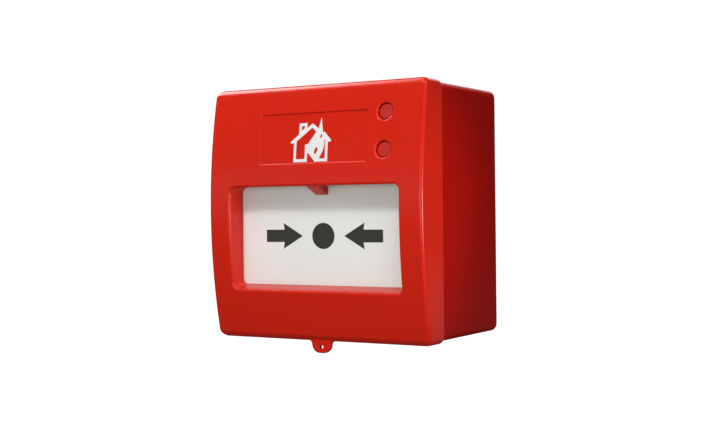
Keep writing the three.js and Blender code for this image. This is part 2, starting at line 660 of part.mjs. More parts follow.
function terminalBlock() {
  const halfWidth = TERMINAL_COUNT * TERMINAL_PITCH / 2;
  const front = BOARD_BACK + TOUCH;
  const { bottom, top, back, screwZ } = TERMINAL;
  const body = block([-halfWidth, halfWidth], [front, back], [bottom, top]);
  const cuts = [];
  for (let i = 0; i < TERMINAL_COUNT; i += 1) {
    const x = terminalX(i);
    cuts.push(rod('y', 1.9, back - 3.2, back + 1, [x, screwZ], 14));
    cuts.push(block([x - 1.6, x + 1.6], [-29.6, -26.2], [bottom - 1, screwZ]));
  }
  return piece('terminal_block', cutBy(body, cuts), greenPlastic);
}

function terminalScrew(i) {
  const x = terminalX(i);
  const back = TERMINAL.back - 0.6;
  const profile = [[0, back - 2.2], [1.65, back - 2.2], [1.65, back - 0.3], [1.4, back], [0, back]];
  const { screwZ } = TERMINAL;
  const slit = block([x - 2, x + 2], [back - 0.8, back + 1], [screwZ - 0.3, screwZ + 0.3]);
  return piece(`terminal_screw_${i + 1}`, turned(profile, [x, screwZ], 12).subtract(slit), zincSteel);
}

function terminalClamp(i) {
  const x = terminalX(i);
  const plate = block([x - 1.3, x + 1.3], [-29.3, -26.5], [-21, TERMINAL.screwZ - 0.3]);
  return piece(`terminal_clamp_${i + 1}`, plate, brass);
}

const terminals = (make) => Array.from({ length: TERMINAL_COUNT }, (_, i) => make(i));

// ---------------------------------------------------------------- assembly

const callPoint = new THREE.Group();
callPoint.add(
  backBox(),
  mechanismBase(),
  ...baseScrews(),
  pivotRod(),
  plateSpring(),
  latchSpring(),
  lightGuide('upper'),
  lightGuide('lower'),
  circuitBoard(),
  ...boardScrews(),
  switchBody(),
  ...switchPins(),
  statusLed('upper'),
  statusLed('lower'),
  resistor('alarm_resistor', 18, -4),
  resistor('monitor_resistor', 23, -4),
  terminalBlock(),
  ...terminals(terminalScrew),
  ...terminals(terminalClamp),
  frontCover(),
  statusLens('upper'),
  statusLens('lower'),
  operatingPlate(),
  plateCarrier(),
  indicatorFlag(),
  switchLever(),
  switchPlunger(),
  resetCam(),
  coverLatch(),
);

export default callPoint;
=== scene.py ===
"""Manual call point: the visual model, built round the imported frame.

The call point's sizes are in millimetres, and each of its meshes is scaled to metres as it is made.
The lights and the floor are in metres.
"""

import json
import math

import bpy
import numpy as np
from mathutils import Matrix, Vector
from mathutils.geometry import delaunay_2d_cdt


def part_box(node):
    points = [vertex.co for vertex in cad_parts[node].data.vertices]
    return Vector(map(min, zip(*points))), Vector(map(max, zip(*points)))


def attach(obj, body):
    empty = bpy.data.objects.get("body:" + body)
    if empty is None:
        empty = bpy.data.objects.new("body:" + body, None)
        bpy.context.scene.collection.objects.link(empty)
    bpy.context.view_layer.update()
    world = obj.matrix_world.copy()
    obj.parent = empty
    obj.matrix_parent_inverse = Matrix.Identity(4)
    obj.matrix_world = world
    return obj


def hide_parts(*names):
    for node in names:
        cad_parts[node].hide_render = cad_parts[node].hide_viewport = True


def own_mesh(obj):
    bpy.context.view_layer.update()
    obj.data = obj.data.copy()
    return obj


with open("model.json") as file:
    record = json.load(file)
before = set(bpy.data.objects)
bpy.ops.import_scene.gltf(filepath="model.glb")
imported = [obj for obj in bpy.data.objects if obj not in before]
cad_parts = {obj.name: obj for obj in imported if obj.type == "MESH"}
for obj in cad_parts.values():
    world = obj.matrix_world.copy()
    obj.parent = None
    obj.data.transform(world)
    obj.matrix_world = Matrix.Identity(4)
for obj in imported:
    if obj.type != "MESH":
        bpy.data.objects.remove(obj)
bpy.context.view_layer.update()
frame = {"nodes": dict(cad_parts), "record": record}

MM = 0.001


def box_mm(node):
    """Two opposite corners of a node of the frame, in millimetres."""
    low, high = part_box(node)
    return low / MM, high / MM


# ---------------------------------------------------------------- driving sizes

COVER_LOW, COVER_HIGH = box_mm("front_cover")
PLATE_LOW, PLATE_HIGH = box_mm("operating_plate")

COVER_HALF_WIDTH = COVER_HIGH.x
COVER_HALF_HEIGHT = COVER_HIGH.z
BOX_DEPTH = 43.7
SEAM_GAP = 0.25
COVER_REAR = -BOX_DEPTH - SEAM_GAP
COVER_CORNER = 2.8
COVER_TOP_EDGE = 2.5
COVER_SIDE_EDGE = 1.2
COVER_REAR_EDGE = 0.35
COVER_WALL = 2.0
FRONT_WALL = 2.2

BOW_RADIUS = 202.0
BOW_Y = COVER_LOW.y + BOW_RADIUS
BOW_Z = 1.2

WINDOW = {"left": -35.2, "right": 35.2, "bottom": -27.3, "top": 9.55, "radius": 2.2}
WINDOW_LIP = 0.9
SILL_LIP = 1.5
WINDOW_WALL = 1.6
WINDOW_REAR = PLATE_LOW.y - 0.3
WINDOW_SILL_RISE = 1.3
WINDOW_TOP_HALF = 32.9
LABEL = {"left": -22.3, "right": 22.3, "bottom": 17.5, "top": 35.5, "radius": 0.8}
LABEL_DEPTH = 0.45
LABEL_LIP = 0.22

LENS_X = 29.0
LENS_HEIGHTS = {"upper": 34.5, "lower": 21.4}
LENS_RADIUS = 2.7
LENS_HOLE_RADIUS = 2.85
LENS_LIP = 0.8
LENS_EDGE = 0.5
LENS_FLANGE_RADIUS = 4.2
LENS_FRONT_DEPTH = 0.8
LENS_SEAT_DEPTH = 2.6
LENS_REAR_DEPTH = 3.4

LATCH_X = 24.0

# Each hole in the cover's bottom: its X, its Y and its radius.
TOOL_HOLE = (LATCH_X, -47.5, 1.7)
KEY_HOLE = (0.0, -48.4, 3.0)
BOTTOM_HOLES = [TOOL_HOLE, KEY_HOLE]
HOLE_STEPS = 28

LUG_FRONT = -53.3
LUG_REAR = -51.4
LUG_BOTTOM = -50.05
LUG_HALF_WIDTH = 3.95
LUG_ROOT_HALF_WIDTH = 4.7
LUG_CORNER = 3.2
LUG_EDGE = 0.35
LUG_HOLE_Z = -47.9
LUG_HOLE_RADIUS = 0.75

NIB_HALF_WIDTH = 2.45
NIB_EDGE = 0.35
HOOK_X = 25.0
HOOK_HALF_WIDTH = 5.0
CATCH_HALF_WIDTH = 4.0
DETAIL_EDGE = 0.2

PLATE_CORNER = 1.2
PLATE_FRONT_EDGE = 0.25
PLATE_REAR_EDGE = 0.1

SIGN_HALF_THICKNESS = 0.05
MARK_HEIGHT = -8.3
MARK_PROUD = 0.04
MARK_SUNK = 0.05
DOT_RADIUS = 4.68
ARROW_TAIL = 24.6
ARROW_NECK = 16.7
ARROW_TIP = 8.8
ARROW_SHAFT_HALF = 2.25
ARROW_HEAD_HALF = 4.7
ARROW_LEAN = 0.4

PIVOT_Y = -48.0
PIVOT_Z = 15.5
PLATE_SPRING_LENGTH = 6.0
PLATE_SPRING_RADIUS = 1.75
PLATE_SPRING_WIRE = 0.3
PLATE_SPRING_TURNS = 6
LATCH_SPRING_Y = -47.7
LATCH_SPRING_RADIUS = 1.8
LATCH_SPRING_WIRE = 0.225
LATCH_SPRING_TURNS = 4


# ---------------------------------------------------------------- surfaces across X and Z


def bowed(depth=0.0, hand=1):
    """The bowed front, a depth behind its outer face. hand 1 faces the front and -1 the wall."""

    def surface(x, z):
        reach = BOW_RADIUS - depth
        y = BOW_Y - math.sqrt(reach**2 - (z - BOW_Z) ** 2)
        return y, Vector((0, y - BOW_Y, z - BOW_Z)) * (hand / reach)

    return surface


def flat(y, hand=1):
    """A plane across Y. hand 1 faces the front and -1 the wall."""
    return lambda x, z: (y, Vector((0, -hand, 0)))


# ---------------------------------------------------------------- outlines across X and Z


def arc(x, z, radius, start, end, steps):
    """Points along an arc, each with the direction outwards."""
    row = []
    for i in range(steps + 1):
        angle = math.radians(start + (end - start) * i / steps)
        c, s = math.cos(angle), math.sin(angle)
        row.append((x + radius * c, z + radius * s, c, s))
    return row


def circle(x, z, radius, steps=32):
    """A round outline, anticlockwise."""
    return arc(x, z, radius, 0, 360, steps)[:-1]


def rounded(left, right, bottom, top, radius, corner=6, across=16, up=24):
    """A rounded rectangle, anticlockwise from the right side's upper end."""
    centres = [
        (right - radius, top - radius),
        (left + radius, top - radius),
        (left + radius, bottom + radius),
        (right - radius, bottom + radius),
    ]
    row = []
    for k, (x, z) in enumerate(centres):
        row += arc(x, z, radius, 90 * k, 90 * (k + 1), corner)
        nx, nz = row[-1][2:]
        goal_x, goal_z = centres[(k + 1) % 4]
        steps = up if k % 2 else across
        for i in range(1, steps):
            share = i / steps
            side_x = x + (goal_x - x) * share + nx * radius
            side_z = z + (goal_z - z) * share + nz * radius
            row.append((side_x, side_z, nx, nz))
    return row


def polygon(points):
    """A sharp-cornered outline, anticlockwise: each corner appears once for each side it ends."""
    row = []
    for (ax, az), (bx, bz) in zip(points, points[1:] + points[:1]):
        length = math.hypot(bx - ax, bz - az)
        nx, nz = (bz - az) / length, (ax - bx) / length
        row += [(ax, az, nx, nz), (bx, bz, nx, nz)]
    return row


def smooth(points):
    """A curved outline, anticlockwise, whose directions run smoothly through its points."""
    row = []
    for i, (x, z) in enumerate(points):
        before, after = points[i - 1], points[(i + 1) % len(points)]
        run = Vector((after[0] - before[0], after[1] - before[1])).normalized()
        row.append((x, z, run.y, -run.x))
    return row


# ---------------------------------------------------------------- rows of points and the mesh they make


def ring(outline, surface, inset=0.0, tilt=0):
    """A row on a surface along an outline, moved inwards by the inset.

    It faces out of the outline where tilt is 1, into it where tilt is -1, and as the surface does where
    tilt is 0. The surface is one for the whole row, or a list with one for each point.
    """
    row = []
    for i, (x, z, nx, nz) in enumerate(outline):
        px, pz = x - nx * inset, z - nz * inset
        here = surface[i] if isinstance(surface, list) else surface
        y, facing = here(px, pz)
        row.append((Vector((px, y, pz)), Vector((nx, 0, nz)) * tilt if tilt else facing))
    return row


def rounding(outline, surface, radius, shift, tilt, rise, steps=5):
    """Rows of a quarter round from a surface to the wall along an outline.

    shift is 1 if the surface lies inside the outline and -1 outside it. tilt is 1 if the wall faces
    outwards and -1 inwards. rise is 1 if the wall runs towards the back and -1 if it runs towards the
    front. The radius is a number, or a function of the outline's direction.
    """
    rows = []
    for k in range(steps + 1):
        turn = math.pi / 2 * k / steps
        row = []
        for x, z, nx, nz in outline:
            size = radius(nx, nz) if callable(radius) else radius
            inset = shift * size * (1 - math.sin(turn))
            drop = rise * size * (1 - math.cos(turn))
            px, pz = x - nx * inset, z - nz * inset
            y, facing = surface(px, pz)
            side = Vector((nx, 0, nz)) * tilt
            direction = facing * math.cos(turn) + side * math.sin(turn)
            row.append((Vector((px, y + drop, pz)), direction.normalized()))
        rows.append(row)
    return rows


def inside(points, loops):
    """Which points lie inside an odd number of loops."""
    result = np.zeros(len(points), bool)
    px, pz = points[:, :1], points[:, 1:]
    for loop in loops:
        ax, az = loop[:, 0], loop[:, 1]
        bx, bz = np.roll(ax, -1), np.roll(az, -1)
        run = np.where(bz == az, 1.0, bz - az)
        crossing = ((az > pz) != (bz > pz)) & (px < (bx - ax) * (pz - az) / run + ax)
        result ^= crossing.sum(1) % 2 == 1
    return result


class Skin:
    """Collects faces with the surface's direction at each corner, and makes one welded mesh of them."""

    # Corners are the same where they agree to one part of a millimetre in this many.
    PER_MM = 1e4
    # The spacing of the points that keep a surface's curve, and the share of it left free along the rim.
    GRID_STEP = 3.5
    RIM_CLEARANCE = 0.4
    SAME_SPOT = 1e-7

    def __init__(self):
        self.places = []
        self.known = {}
        self.faces = []
        self.directions = []

    def corner(self, point):
        """The number of a corner. Corners at the same place share it."""
        key = tuple(round(c * self.PER_MM) for c in point)
        if key not in self.known:
            self.known[key] = len(self.places)
            self.places.append(point * MM)
        return self.known[key]

    def face(self, corners):
        """Adds a face, turned the way its corners' directions point."""
        ids, directions = [], []
        for point, direction in corners:
            i = self.corner(point)
            if i not in ids:
                ids.append(i)
                directions.append(direction)
        if len(ids) < 3:
            return
        a, b, c = (self.places[i] for i in ids[:3])
        across = (b - a).cross(c - a)
        if len(ids) == 4:
            across += (c - a).cross(self.places[ids[3]] - a)
        if across.dot(sum(directions, Vector())) < 0:
            ids.reverse()
            directions.reverse()
        self.faces.append(ids)
        self.directions += directions

    def strip(self, a, b, skip=()):
        """Closed rows of the same length, joined by faces, without those at the places to skip."""
        count = len(a)
        for i in range(count):
            if i not in skip:
                j = (i + 1) % count
                self.face([a[i], a[j], b[j], b[i]])

    def strips(self, rows):
        for a, b in zip(rows, rows[1:]):
            self.strip(a, b)

    def fill(self, loops, surface=None, step=GRID_STEP, axes=(0, 2)):
        """Covers what lies between loops. A surface adds a grid of points, so that it keeps its curve."""
        corners = [corner for loop in loops for corner in loop]
        spots = [Vector((p[axes[0]], p[axes[1]])) for p, _ in corners]
        edges, outlines, first = [], [], 0
        for loop in loops:
            count = len(loop)
            edges += [(first + i, first + (i + 1) % count) for i in range(count)]
            outlines.append(np.array([tuple(s) for s in spots[first : first + count]]))
            first += count
        if surface:
            low, high = outlines[0].min(0), outlines[0].max(0)
            xs, zs = (np.arange(low[k] + step, high[k] - step / 2, step) for k in (0, 1))
            grid = np.array([(x, z) for x in xs for z in zs]).reshape(-1, 2)
            rim = np.concatenate(outlines)
            near = np.hypot(*(grid[:, None] - rim[None]).transpose(2, 0, 1)).min(1)
            for x, z in grid[inside(grid, outlines) & (near > step * self.RIM_CLEARANCE)]:
                y, direction = surface(x, z)
                spots.append(Vector((x, z)))
                corners.append((Vector((x, y, z)), direction))
        places, _, faces, origins, _, _ = delaunay_2d_cdt(spots, edges, [], 0, self.SAME_SPOT)
        centres = np.array([sum((places[i] for i in f), Vector((0, 0))) / len(f) for f in faces])
        for f, kept in zip(faces, inside(centres, outlines)):
            if kept:
                self.face([corners[origins[i][0]] for i in f])

    def slab(self, outline, holes, front, back, front_lip=0.0, back_lip=0.0, curved=False):
        """A closed plate between two surfaces, with rounded edges."""
        near_loops, far_loops = [], []
        for k, loop in enumerate([outline, *holes]):
            hand = -1 if k else 1
            near = rounding(loop, front, front_lip, hand, hand, 1, 3)
            far = rounding(loop, back, back_lip, hand, hand, -1, 3)
            self.strips(near)
            self.strips(far)
            self.strip(near[-1], far[-1])
            near_loops.append(near[0])
            far_loops.append(far[0])
        self.fill(near_loops, front if curved else None)
        self.fill(far_loops, back if curved else None)

    def made(self, name, material, body, replaced=()):
        """The finished piece."""
        mesh = bpy.data.meshes.new(name)
        mesh.from_pydata(self.places, [], self.faces)
        mesh.shade_smooth()
        mesh.normals_split_custom_set(self.directions)
        mesh.materials.append(material)
        return placed(bpy.data.objects.new(name, mesh), body, replaced)


def placed(piece, body, replaced=()):
    """Links a new piece, and says what it rides on and stands for."""
    bpy.context.scene.collection.objects.link(piece)
    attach(piece, body)
    if replaced:
        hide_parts(*replaced)
    return piece


# ---------------------------------------------------------------- materials


class Nodes:
    """Short ways to add and link shader nodes."""

    def __init__(self, name):
        self.material = bpy.data.materials.new(name)
        self.material.use_nodes = True
        self.tree = self.material.node_tree
        self.shader = self.tree.nodes["Principled BSDF"]
        self.place = self.tree.nodes.new("ShaderNodeTexCoord").outputs["Object"]

    def add(self, kind, **values):
        """A new node, with values for its own settings and for its inputs."""
        node = self.tree.nodes.new(kind)
        for key, value in values.items():
            if hasattr(node, key):
                setattr(node, key, value)
            else:
                node.inputs[key.replace("_", " ")].default_value = value
        return node

    def link(self, out, socket):
        self.tree.links.new(out, socket)

    def drive(self, name, out):
        """Feeds one of the shader's own inputs."""
        self.link(out, self.shader.inputs[name])

    def noise(self, scale, detail=3.0, stretch=None):
        """Noise whose scale is in cells per millimetre."""
        node = self.add("ShaderNodeTexNoise", Scale=scale / MM, Detail=detail)
        source = self.place
        if stretch:
            mapping = self.add("ShaderNodeMapping")
            mapping.inputs["Scale"].default_value = stretch
            self.link(source, mapping.inputs["Vector"])
            source = mapping.outputs["Vector"]
        self.link(source, node.inputs["Vector"])
        return node.outputs["Fac"]

    def spread(self, source, low, high, from_low=0.3, from_high=0.7):
        """Stretches a source's range to run from low to high."""
        node = self.add("ShaderNodeMapRange", From_Min=from_low, From_Max=from_high, To_Min=low, To_Max=high)
        self.link(source, node.inputs["Value"])
        return node.outputs["Result"]

    def blend(self, share, low, high):
        """A colour between two others."""
        node = self.add("ShaderNodeMix", data_type="RGBA")
        colours = [socket for socket in node.inputs if socket.type == "RGBA"]
        for socket, colour in zip(colours, (low, high)):
            socket.default_value = (*colour, 1)
        self.link(share, node.inputs["Factor"])
        return next(socket for socket in node.outputs if socket.type == "RGBA")

    def bump(self, source, height, chain=None):
        """A bump whose height is in millimetres."""
        node = self.add("ShaderNodeBump", Distance=height * MM)
        self.link(source, node.inputs["Height"])
        if chain:
            self.link(chain, node.inputs["Normal"])
        return node.outputs["Normal"]

    def set(self, **values):
        """Sets constants on the shader's own inputs."""
        for key, value in values.items():
            self.shader.inputs[key.replace("_", " ")].default_value = value


def shade(colour, factor):
    """A colour made darker or lighter."""
    return tuple(c * factor for c in colour)


def moulded(name, colour, roughness, grain=0.008, grain_scale=1.6, vary=0.05, **values):
    """Moulded plastic: a slightly uneven colour, a shine that varies with faint rubs, and a fine skin."""
    n = Nodes(name)
    cloud = n.spread(n.noise(0.035, 2.0), 0, 1)
    n.drive("Base Color", n.blend(cloud, shade(colour, 1 - vary), shade(colour, 1 + vary)))
    rubs = n.noise(0.3, 1.0, (1.0, 1.0, 5.0))
    haze = n.noise(0.08, 3.0)
    wear = n.add("ShaderNodeMath", operation="MULTIPLY")
    n.link(rubs, wear.inputs[0])
    n.link(haze, wear.inputs[1])
    n.drive("Roughness", n.spread(wear.outputs[0], roughness * 0.94, roughness * 1.08, 0.15, 0.4))
    skin = n.bump(n.noise(grain_scale, 2.0), grain)
    n.drive("Normal", n.bump(n.noise(0.12, 1.0), grain * 1.5, skin))
    n.set(**values)
    return n.material


def metal(name, colour, roughness):
    """Plated or drawn metal: a cloudy tone, a fine grain, and a shine that varies with it."""
    n = Nodes(name)
    cloud = n.spread(n.noise(0.4, 4.0), 0, 1)
    n.drive("Base Color", n.blend(cloud, shade(colour, 0.8), shade(colour, 1.1)))
    grain = n.noise(2.5, 3.0)
    n.drive("Roughness", n.spread(grain, roughness * 0.75, roughness * 1.35))
    n.drive("Normal", n.bump(grain, 0.004))
    n.set(Metallic=1.0)
    return n.material


def board_mask(name):
    """Green solder mask over copper tracks."""
    n = Nodes(name)
    cells = n.add("ShaderNodeTexBrick", Scale=0.16 / MM)
    cells.offset_frequency = 2
    for key, value in (("Color1", 0.0), ("Color2", 0.15), ("Mortar", 1.0)):
        cells.inputs[key].default_value = (value, value, value, 1)
    cells.inputs["Mortar Size"].default_value = 0.03
    turn = n.add("ShaderNodeMapping")
    turn.inputs["Rotation"].default_value = (math.pi / 2, 0, 0)
    n.link(n.place, turn.inputs["Vector"])
    n.link(turn.outputs["Vector"], cells.inputs["Vector"])
    n.drive("Base Color", n.blend(cells.outputs["Color"], (0.008, 0.11, 0.035), (0.02, 0.2, 0.07)))
    n.drive("Roughness", n.spread(n.noise(0.5), 0.3, 0.45))
    n.drive("Normal", n.bump(cells.outputs["Color"], 0.03))
    return n.material


RED = (0.60, 0.014, 0.003)
# The back box's red is darker than the cover's. It is painted shade for the dimmer light on the box's side
# behind the cover.
BOX_RED_WITH_PAINTED_SHADE = (0.38, 0.003, 0.0005)
LENS_RED = (0.52, 0.02, 0.012)
COVER_SKIN = {"grain": 0.0003, "grain_scale": 0.7, "vary": 0.03, "Specular_IOR_Level": 0.25}
BOX_SKIN = {"grain": 0.003, "vary": 0.04, "Specular_IOR_Level": 0.05}
LENS_SKIN = {"Specular_IOR_Level": 0.3, "Subsurface_Weight": 0.1, "Subsurface_Scale": 0.001}
CLEAR = {"vary": 0.02, "Transmission_Weight": 0.85, "IOR": 1.49}

# The frame's material slots.
MATERIALS = {
    "red_cover": moulded("red_cover", RED, 0.25, **COVER_SKIN),
    "red_box": moulded("red_box", BOX_RED_WITH_PAINTED_SHADE, 0.38, **BOX_SKIN),
    "red_lens": moulded("red_lens", LENS_RED, 0.36, **LENS_SKIN),
    "white_plate": moulded("white_plate", (0.86, 0.88, 0.84), 0.42, grain=0.004, vary=0.015),
    "ivory_base": moulded("ivory_base", (0.66, 0.63, 0.55), 0.45, grain=0.02, vary=0.03),
    "black_plastic": moulded("black_plastic", (0.018, 0.018, 0.02), 0.4, grain=0.02, vary=0.2),
    "yellow_plastic": moulded("yellow_plastic", (0.82, 0.52, 0.02), 0.4, vary=0.03),
    "clear_plastic": moulded("clear_plastic", (0.85, 0.9, 0.9), 0.12, **CLEAR),
    "green_board": board_mask("green_board"),
    "green_plastic": moulded("green_plastic", (0.02, 0.2, 0.08), 0.4),
    "red_diffuser": moulded("red_diffuser", (0.5, 0.02, 0.015), 0.2, Transmission_Weight=0.4),
    "resistor_lacquer": moulded("resistor_lacquer", (0.55, 0.42, 0.24), 0.35, vary=0.15),
    "zinc_steel": metal("zinc_steel", (0.55, 0.56, 0.58), 0.3),
    "spring_steel": metal("spring_steel", (0.42, 0.43, 0.45), 0.28),
    "brass": metal("brass", (0.72, 0.5, 0.2), 0.3),
}

# The inks of the printed marks, which have no slot.
WHITE_INK = moulded("white_ink", (0.78, 0.77, 0.76), 0.4, grain=0.02, vary=0.02)
BLACK_INK = moulded("black_ink", (0.035, 0.036, 0.031), 0.45, grain=0.02, vary=0.08)


# ---------------------------------------------------------------- front cover


def punched_wall(skin, height, outward, near, far):
    """A level wall of the cover between two rows, pierced by its holes. outward is its facing along Z."""
    facing = Vector((0, 0, outward))
    loops = [[(p, facing) for p, _ in near] + [(p, facing) for p, _ in reversed(far)]]
    for hole in BOTTOM_HOLES:
        loops.append([(Vector((x, y, height)), facing) for x, y, _, _ in circle(*hole, HOLE_STEPS)])
    skin.fill(loops, axes=(0, 1))


def hole_through(skin, hole, low, high):
    """The wall of a round hole along Z."""
    rows = []
    for height in (low, high):
        around = circle(*hole, HOLE_STEPS)
        rows.append([(Vector((x, y, height)), Vector((-c, -s, 0))) for x, y, c, s in around])
    skin.strip(*rows)


def sloped(facing):
    """The window wall's facing, leaned towards the front where the sill rises."""
    lean = WINDOW_SILL_RISE / (WINDOW_REAR - COVER_LOW.y - WINDOW_LIP)
    return (facing - Vector((0, max(facing.z, 0) * lean, 0))).normalized()


def cover_edge(nx, nz):
    """The radius of the cover's front edge: large along its top and bottom, smaller down its sides."""
    return COVER_SIDE_EDGE + (COVER_TOP_EDGE - COVER_SIDE_EDGE) * nz * nz


def window_edge(nx, nz):
    """The radius of the window's front edge, larger along its sill."""
    return WINDOW_LIP + (SILL_LIP - WINDOW_LIP) * max(-nz, 0)


def cover_walls(skin, outer, face, inner):
    """The cover's four walls, with the holes in its bottom. Gives back the front edge's rows."""
    rim = flat(COVER_REAR, -1)
    straight_down = -0.9999
    under = [i for i, (_, _, _, nz) in enumerate(outer) if nz < straight_down]
    bottom = under[:-1]

    edge = rounding(outer, face, cover_edge, 1, 1, 1, 7)
    rear = rounding(outer, rim, COVER_REAR_EDGE, 1, 1, -1, 3)
    inner_rear = ring(outer, rim, COVER_WALL, -1)
    inner_front = ring(outer, inner, COVER_WALL, -1)
    skin.strips(edge)
    skin.strip(edge[-1], rear[-1], skip=bottom)
    skin.strips(rear)
    skin.strip(rear[0], ring(outer, rim, COVER_WALL))
    skin.strip(inner_rear, inner_front, skip=bottom)

    low, high = -COVER_HALF_HEIGHT, -COVER_HALF_HEIGHT + COVER_WALL
    punched_wall(skin, low, -1, [edge[-1][i] for i in under], [rear[-1][i] for i in under])
    punched_wall(skin, high, 1, [inner_front[i] for i in under], [inner_rear[i] for i in under])
    for hole in BOTTOM_HOLES:
        hole_through(skin, hole, low, high)
    return edge


def window_outline(rise=0.0):
    """The window's outline, with its sill raised by the rise."""
    return rounded(**{**WINDOW, "bottom": WINDOW["bottom"] + rise}, corner=8, across=48)


def window_walls(skin, window, face, inner):
    """The window's rounded front edge and the walls behind it. Gives back the edge's rows.

    The sides and the sill run back to the plate, and the top ends at the inner face.
    """
    lip = rounding(window, face, window_edge, -1, -1, 1, 6)
    ends = [flat(WINDOW_REAR, -1) if z < 0 or abs(x) > WINDOW_TOP_HALF else inner for x, z, _, _ in window]
    throat = window_outline(WINDOW_SILL_RISE)
    skin.strips(lip)
    sill_front = [(p, sloped(facing)) for p, facing in lip[-1]]
    sill_rear = [(p, sloped(facing)) for p, facing in ring(throat, ends, tilt=-1)]
    skin.strip(sill_front, sill_rear)
    skin.strip(ring(throat, ends), ring(window, ends, -WINDOW_WALL))
    skin.strip(ring(window, ends, -WINDOW_WALL, 1), ring(window, inner, -WINDOW_WALL, 1))
    return lip


def label_recess(skin, face):
    """The shallow recess for the sign. Gives back its edge's rows."""
    label = rounded(**LABEL, corner=4)
    lip = rounding(label, face, LABEL_LIP, -1, -1, 1, 3)
    floor_edge = rounding(label, bowed(LABEL_DEPTH), LABEL_LIP, 1, -1, -1, 3)
    skin.strips(lip)
    skin.strip(lip[-1], floor_edge[-1])
    skin.strips(floor_edge)
    skin.fill([floor_edge[0]], bowed(LABEL_DEPTH))
    return lip


def front_cover():
    """The cover: four walls, and a bowed front with the window, the sign's recess and the lens holes."""
    skin = Skin()
    face, inner = bowed(), bowed(FRONT_WALL, -1)
    half_width, half_height = COVER_HALF_WIDTH, COVER_HALF_HEIGHT
    outer = rounded(-half_width, half_width, -half_height, half_height, COVER_CORNER)
    window = window_outline()
    edge = cover_walls(skin, outer, face, inner)
    lip = window_walls(skin, window, face, inner)
    label_lip = label_recess(skin, face)

    front_loops = [edge[0], lip[0], label_lip[0]]
    inner_loops = [ring(outer, inner, COVER_WALL), ring(window, inner, -WINDOW_WALL)]
    for z in LENS_HEIGHTS.values():
        hole = circle(LENS_X, z, LENS_HOLE_RADIUS)
        hole_lip = rounding(hole, face, LENS_LIP, -1, -1, 1, 4)
        skin.strips(hole_lip)
        skin.strip(hole_lip[-1], ring(hole, inner, tilt=-1))
        front_loops.append(hole_lip[0])
        inner_loops.append(ring(hole, inner))
    skin.fill(front_loops, face)
    skin.fill(inner_loops, inner)
    return skin.made("cover_shell", MATERIALS["red_cover"], "cover", ["front_cover"])


def seal_lug():
    """The lug under the cover, with its hole for a tamper seal."""
    half, root = LUG_HALF_WIDTH, LUG_ROOT_HALF_WIDTH
    flare = [
        (root, -44.4),
        (root, -45.4),
        (root - 0.1, -45.85),
        (root - 0.4, -46.1),
        (half + 0.1, -46.4),
        (half, -46.8),
    ]
    corner = arc(half - LUG_CORNER, LUG_BOTTOM + LUG_CORNER, LUG_CORNER, 0, -90, 8)
    right = flare + [(x, z) for x, z, _, _ in corner]
    left = [(-x, z) for x, z in right]
    hole = circle(0, LUG_HOLE_Z, LUG_HOLE_RADIUS, 20)
    skin = Skin()
    skin.slab(smooth(left + right[::-1]), [hole], flat(LUG_FRONT), flat(LUG_REAR, -1), LUG_EDGE, LUG_EDGE)
    return skin.made("seal_lug", MATERIALS["red_cover"], "cover", ())


def soften(piece, width):
    """Rounds a piece's edges with modifiers, so that its own mesh stays as it is."""
    weld = piece.modifiers.new("weld", "WELD")
    weld.merge_threshold = 0.001 * MM
    planes = piece.modifiers.new("planes", "DECIMATE")
    planes.decimate_type = "DISSOLVE"
    planes.angle_limit = math.radians(0.5)
    bevel = piece.modifiers.new("bevel", "BEVEL")
    bevel.width = width * MM
    bevel.segments = 3
    bevel.limit_method = "ANGLE"
    bevel.angle_limit = math.radians(30)
    bevel.use_clamp_overlap = True
    normals = piece.modifiers.new("normals", "WEIGHTED_NORMAL")
    normals.keep_sharp = True


def cover_bar(name, side_view, middle, half_width, edge):
    """A bar of the cover along X with rounded edges, from its side view in Y and Z."""
    mesh = bpy.data.meshes.new(name)
    count = len(side_view)
    ends = (middle - half_width, middle + half_width)
    places = [(x * MM, y * MM, z * MM) for x in ends for y, z in side_view]
    faces = [list(range(count))[::-1], list(range(count, 2 * count))]
    faces += [(i, (i + 1) % count, count + (i + 1) % count, count + i) for i in range(count)]
    mesh.from_pydata(places, [], faces)
    mesh.materials.append(MATERIALS["red_cover"])
    mesh.shade_smooth()
    piece = placed(bpy.data.objects.new(name, mesh), "cover", ())
    soften(piece, edge)


def cover_details():
    """The window's nib, the two hooks that the cover hangs from, and the rib that the latch holds."""
    nib = [(-58.4, 9.3), (-52.2, 6.4), (-51.2, 6.4), (-51.2, 9.2), (-56.8, 12), (-58.4, 12)]
    cover_bar("window_nib", nib, 0, NIB_HALF_WIDTH, NIB_EDGE)
    foot = [(-47.4, 40.2), (-41.2, 40.2), (-41.2, 41.6), (-41.6, 42)]
    hook = foot + [(-45.4, 42), (-45.4, 44.6), (-47.4, 44.6)]
    for name, x in (("left", -HOOK_X), ("right", HOOK_X)):
        cover_bar(f"cover_hook_{name}", hook, x, HOOK_HALF_WIDTH, DETAIL_EDGE)
    rib = [(-45.6, -44.6), (-44.6, -44.6), (-44.6, -42.9), (-45.6, -42.9)]
    cover_bar("catch_rib", rib, LATCH_X, CATCH_HALF_WIDTH, DETAIL_EDGE)


def status_lenses():
    """Two lenses, each with a flange behind the cover's front."""
    front, seat, rear = bowed(LENS_FRONT_DEPTH), bowed(LENS_SEAT_DEPTH), bowed(LENS_REAR_DEPTH, -1)
    for level, z in LENS_HEIGHTS.items():
        skin = Skin()
        face = circle(LENS_X, z, LENS_RADIUS)
        flange = circle(LENS_X, z, LENS_FLANGE_RADIUS)
        lip = rounding(face, front, LENS_EDGE, 1, 1, 1, 4)
        skin.strips(lip)
        skin.fill([lip[0]], front, 1.0)
        skin.strip(lip[-1], ring(face, seat, tilt=1))
        skin.strip(ring(face, seat), ring(flange, seat))
        skin.strip(ring(flange, seat, tilt=1), ring(flange, rear, tilt=1))
        skin.fill([ring(flange, rear)])
        name = f"status_lens_{level}"
        skin.made(f"lens_{level}", MATERIALS["red_lens"], "cover", [name])


